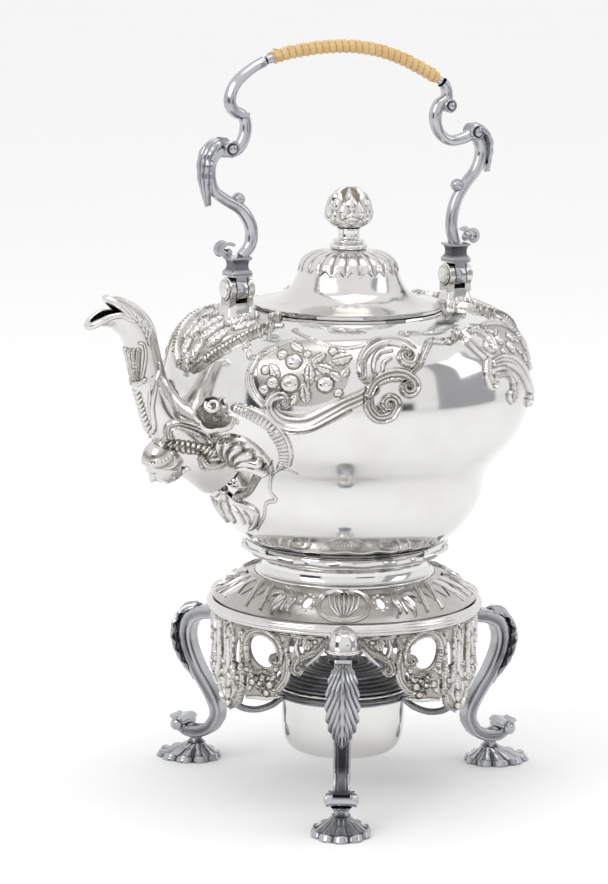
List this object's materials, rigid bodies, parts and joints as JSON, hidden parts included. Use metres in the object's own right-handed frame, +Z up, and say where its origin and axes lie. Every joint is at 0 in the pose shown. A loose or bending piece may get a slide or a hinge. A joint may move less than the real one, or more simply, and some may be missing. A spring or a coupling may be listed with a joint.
{
  "type": "spirit kettle on stand",
  "caption": "Bellied kettle with curved spout, hinged lid and cane-wound swing handle, standing on a pierced three-legged stand over a spirit lamp.",
  "frame": {"origin": "on the surface that the feet stand on, under the middle of the whole part's length and width", "axes": "+Z up; the spout points along -X; the lid's hinge is on the +Y side; the front of the picture is on the -Y side"},
  "size_m": [0.2567, 0.1956, 0.3802],
  "materials": {
    "polished_silver": "polished silver, warm in its recesses",
    "toned_silver": "cast silver, toned grey in its recesses",
    "cane": "split cane, satin",
    "cotton_wick": "cotton, matt"
  },
  "bodies": {
    "stand": {"foot_1": "toned_silver", "foot_2": "toned_silver", "foot_3": "toned_silver", "leg_1": "toned_silver", "leg_2": "toned_silver", "leg_3": "toned_silver", "leg_cap_1": "polished_silver", "leg_cap_2": "polished_silver", "leg_cap_3": "polished_silver", "apron_panel_1": "polished_silver", "apron_panel_2": "polished_silver", "apron_panel_3": "polished_silver", "lamp_bracket_1": "toned_silver", "lamp_bracket_2": "toned_silver", "lamp_bracket_3": "toned_silver", "stand_rim": "polished_silver", "stand_shoulder": "polished_silver", "stand_neck": "polished_silver", "stand_lip": "polished_silver", "lamp_ring": "polished_silver"},
    "kettle": {"kettle_body": "polished_silver", "kettle_foot_ring": "polished_silver", "lid_seat": "polished_silver", "spout_shell": "polished_silver", "spout": "polished_silver", "spout_head": "polished_silver", "front_handle_mount": "polished_silver", "rear_handle_mount": "polished_silver", "front_handle_pin": "polished_silver", "rear_handle_pin": "polished_silver", "body_hinge_leaf": "polished_silver", "lid_hinge_pin": "polished_silver"},
    "lid": {"lid": "polished_silver", "lid_bezel": "polished_silver", "lid_hinge_leaf": "polished_silver", "finial": "polished_silver", "finial_collar": "polished_silver", "finial_nut": "polished_silver"},
    "handle": {"handle_front_arm": "toned_silver", "handle_rear_arm": "toned_silver", "handle_grip_core": "toned_silver", "cane_binding": "cane"},
    "lamp": {"lamp_bowl": "polished_silver"},
    "lamp_cover": {"lamp_cover": "polished_silver", "wick_tube": "polished_silver", "wick": "cotton_wick"}
  },
  "joints": [
    {"name": "kettle_lift", "type": "slide", "parent": "stand", "child": "kettle", "axis": [0, 0, 1], "range_m": [0, 0.12]},
    {"name": "handle_swing", "type": "hinge", "parent": "kettle", "child": "handle", "pos_m": [0.0176, 0, 0.259], "axis": [1, 0, 0], "range_deg": [-85, 85]},
    {"name": "lid_hinge", "type": "hinge", "parent": "kettle", "child": "lid", "pos_m": [0.0176, 0.051, 0.24896], "axis": [-1, 0, 0], "range_deg": [0, 95]},
    {"name": "lamp_lift", "type": "slide", "parent": "stand", "child": "lamp", "axis": [0, 0, 1], "range_m": [0, 0.022]},
    {"name": "lamp_cover_lift", "type": "slide", "parent": "lamp", "child": "lamp_cover", "axis": [0, 0, 1], "range_m": [0, 0.016]}
  ]
}
